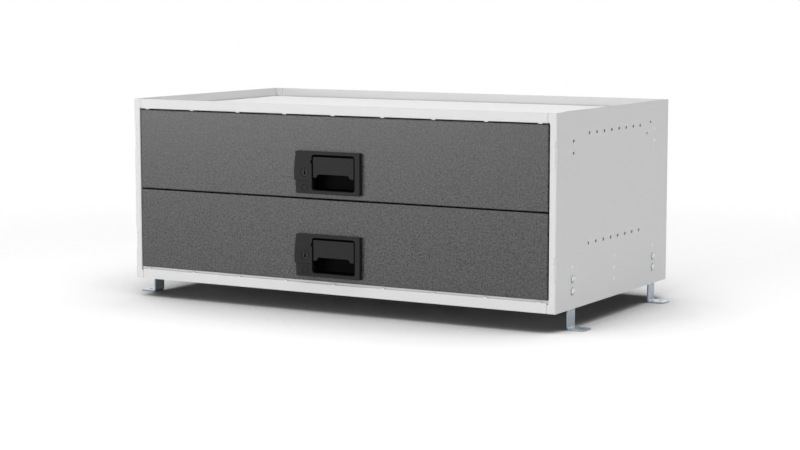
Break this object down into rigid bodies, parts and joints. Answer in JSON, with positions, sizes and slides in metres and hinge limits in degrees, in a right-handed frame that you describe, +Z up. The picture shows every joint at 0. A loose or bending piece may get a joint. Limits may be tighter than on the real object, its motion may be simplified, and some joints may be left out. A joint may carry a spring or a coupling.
{
  "type": "van drawer cabinet",
  "caption": "Low wide steel van cabinet with drawers on ball slides, flush paddle latches with locks, an open tray top and bolt-down feet.",
  "frame": {"origin": "on the floor under the middle of the whole object, front to back and side to side", "axes": "+X to the right seen from the front, +Y to the back, +Z up; the drawers pull out along -Y"},
  "size_m": [1.068, 0.5584, 0.4255],
  "materials": {
    "pale_grey_paint": "satin powder coat",
    "dark_grey_hammered_paint": "hammered, semi-gloss",
    "black_plastic": "fine texture",
    "white_plastic": "moulded",
    "guide_plastic": "moulded",
    "zinc_plate": "bright zinc",
    "galvanised_sheet": "galvanised",
    "bright_steel": "zinc plated",
    "lock_dark_metal": "black, satin"
  },
  "bodies": {
    "cabinet": {"side_panel_left": "pale_grey_paint", "leg_front_left": "zinc_plate", "leg_rear_left": "zinc_plate", "lower_slide_rail_left": "galvanised_sheet", "upper_slide_rail_left": "galvanised_sheet", "lower_slide_outer_left": "galvanised_sheet", "upper_slide_outer_left": "galvanised_sheet", "side_panel_right": "pale_grey_paint", "leg_front_right": "zinc_plate", "leg_rear_right": "zinc_plate", "lower_slide_rail_right": "galvanised_sheet", "upper_slide_rail_right": "galvanised_sheet", "lower_slide_outer_right": "galvanised_sheet", "upper_slide_outer_right": "galvanised_sheet", "top_tray": "pale_grey_paint", "base_pan": "pale_grey_paint", "back_panel": "pale_grey_paint", "leg_bolts": "bright_steel", "leg_nuts": "bright_steel", "hole_plugs": "white_plastic", "rail_screws": "bright_steel", "latch_strikes": "zinc_plate"},
    "lower_drawer": {"lower_drawer_box": "galvanised_sheet", "lower_drawer_front": "dark_grey_hammered_paint", "lower_drawer_screws": "bright_steel", "lower_handle_bezel": "black_plastic", "lower_lock_cover": "black_plastic", "lower_rod_guides": "guide_plastic", "lower_slide_inner_left": "galvanised_sheet", "lower_slide_inner_right": "galvanised_sheet"},
    "lower_slide_middles": {"lower_slide_middle_left": "galvanised_sheet", "lower_slide_middle_right": "galvanised_sheet"},
    "lower_outer_balls": {"lower_outer_ball_rows": "bright_steel"},
    "lower_inner_balls": {"lower_inner_ball_rows": "bright_steel"},
    "lower_paddle_lever": {"lower_paddle": "black_plastic", "lower_paddle_shaft": "bright_steel", "lower_paddle_spring": "bright_steel"},
    "lower_rotor": {"lower_latch_rotor": "bright_steel"},
    "lower_rod_left": {"lower_latch_rod_left": "bright_steel"},
    "lower_rod_right": {"lower_latch_rod_right": "bright_steel"},
    "lower_lock": {"lower_lock_cylinder": "lock_dark_metal"},
    "upper_drawer": {"upper_drawer_box": "galvanised_sheet", "upper_drawer_front": "dark_grey_hammered_paint", "upper_drawer_screws": "bright_steel", "upper_handle_bezel": "black_plastic", "upper_lock_cover": "black_plastic", "upper_rod_guides": "guide_plastic", "upper_slide_inner_left": "galvanised_sheet", "upper_slide_inner_right": "galvanised_sheet"},
    "upper_slide_middles": {"upper_slide_middle_left": "galvanised_sheet", "upper_slide_middle_right": "galvanised_sheet"},
    "upper_outer_balls": {"upper_outer_ball_rows": "bright_steel"},
    "upper_inner_balls": {"upper_inner_ball_rows": "bright_steel"},
    "upper_paddle_lever": {"upper_paddle": "black_plastic", "upper_paddle_shaft": "bright_steel", "upper_paddle_spring": "bright_steel"},
    "upper_rotor": {"upper_latch_rotor": "bright_steel"},
    "upper_rod_left": {"upper_latch_rod_left": "bright_steel"},
    "upper_rod_right": {"upper_latch_rod_right": "bright_steel"},
    "upper_lock": {"upper_lock_cylinder": "lock_dark_metal"}
  },
  "joints": [
    {"name": "lower_drawer_slide", "type": "slide", "parent": "cabinet", "child": "lower_drawer", "axis": [0, -1, 0], "range_m": [0, 0.48]},
    {"name": "lower_slide_middles_run", "type": "slide", "parent": "cabinet", "child": "lower_slide_middles", "axis": [0, -1, 0], "range_m": [0, 0.24]},
    {"name": "lower_outer_balls_roll", "type": "slide", "parent": "cabinet", "child": "lower_outer_balls", "axis": [0, -1, 0], "range_m": [0, 0.12]},
    {"name": "lower_inner_balls_roll", "type": "slide", "parent": "cabinet", "child": "lower_inner_balls", "axis": [0, -1, 0], "range_m": [0, 0.36]},
    {"name": "lower_paddle_pull", "type": "hinge", "parent": "lower_drawer", "child": "lower_paddle_lever", "pos_m": [0, -0.27275, 0.14365], "axis": [-1, 0, 0], "range_deg": [0, 26], "stiffness_Nm_per_rad": 0.4, "springref_deg": -20.05},
    {"name": "lower_rotor_turn", "type": "hinge", "parent": "lower_drawer", "child": "lower_rotor", "pos_m": [0.039, -0.2445, 0.1396], "axis": [0, 1, 0], "range_deg": [0, 27.4]},
    {"name": "lower_rod_left_draw", "type": "slide", "parent": "lower_drawer", "child": "lower_rod_left", "axis": [1, 0, 0], "range_m": [0, 0.00707]},
    {"name": "lower_rod_right_draw", "type": "slide", "parent": "lower_drawer", "child": "lower_rod_right", "axis": [-1, 0, 0], "range_m": [0, 0.0072]},
    {"name": "lower_lock_turn", "type": "hinge", "parent": "lower_drawer", "child": "lower_lock", "pos_m": [-0.062, -0.279, 0.11765], "axis": [0, 1, 0], "range_deg": [0, 90]},
    {"name": "upper_drawer_slide", "type": "slide", "parent": "cabinet", "child": "upper_drawer", "axis": [0, -1, 0], "range_m": [0, 0.48]},
    {"name": "upper_slide_middles_run", "type": "slide", "parent": "cabinet", "child": "upper_slide_middles", "axis": [0, -1, 0], "range_m": [0, 0.24]},
    {"name": "upper_outer_balls_roll", "type": "slide", "parent": "cabinet", "child": "upper_outer_balls", "axis": [0, -1, 0], "range_m": [0, 0.12]},
    {"name": "upper_inner_balls_roll", "type": "slide", "parent": "cabinet", "child": "upper_inner_balls", "axis": [0, -1, 0], "range_m": [0, 0.36]},
    {"name": "upper_paddle_pull", "type": "hinge", "parent": "upper_drawer", "child": "upper_paddle_lever", "pos_m": [0, -0.27275, 0.3136], "axis": [-1, 0, 0], "range_deg": [0, 26], "stiffness_Nm_per_rad": 0.4, "springref_deg": -20.05},
    {"name": "upper_rotor_turn", "type": "hinge", "parent": "upper_drawer", "child": "upper_rotor", "pos_m": [0.039, -0.2445, 0.30955], "axis": [0, 1, 0], "range_deg": [0, 27.4]},
    {"name": "upper_rod_left_draw", "type": "slide", "parent": "upper_drawer", "child": "upper_rod_left", "axis": [1, 0, 0], "range_m": [0, 0.00707]},
    {"name": "upper_rod_right_draw", "type": "slide", "parent": "upper_drawer", "child": "upper_rod_right", "axis": [-1, 0, 0], "range_m": [0, 0.0072]},
    {"name": "upper_lock_turn", "type": "hinge", "parent": "upper_drawer", "child": "upper_lock", "pos_m": [-0.062, -0.279, 0.2876], "axis": [0, 1, 0], "range_deg": [0, 90]}
  ],
  "couplings": [
    {"joint": "lower_slide_middles_run", "follows": "lower_drawer_slide", "ratio": 0.5},
    {"joint": "lower_outer_balls_roll", "follows": "lower_drawer_slide", "ratio": 0.25},
    {"joint": "lower_inner_balls_roll", "follows": "lower_drawer_slide", "ratio": 0.75},
    {"joint": "lower_paddle_pull", "follows": "lower_rod_left_draw", "rad_per_m": 64.1},
    {"joint": "lower_rotor_turn", "follows": "lower_rod_left_draw", "rad_per_m": 67.3},
    {"joint": "lower_rod_right_draw", "follows": "lower_rod_left_draw", "ratio": 1},
    {"joint": "upper_slide_middles_run", "follows": "upper_drawer_slide", "ratio": 0.5},
    {"joint": "upper_outer_balls_roll", "follows": "upper_drawer_slide", "ratio": 0.25},
    {"joint": "upper_inner_balls_roll", "follows": "upper_drawer_slide", "ratio": 0.75},
    {"joint": "upper_paddle_pull", "follows": "upper_rod_left_draw", "rad_per_m": 64.1},
    {"joint": "upper_rotor_turn", "follows": "upper_rod_left_draw", "rad_per_m": 67.3},
    {"joint": "upper_rod_right_draw", "follows": "upper_rod_left_draw", "ratio": 1}
  ]
}
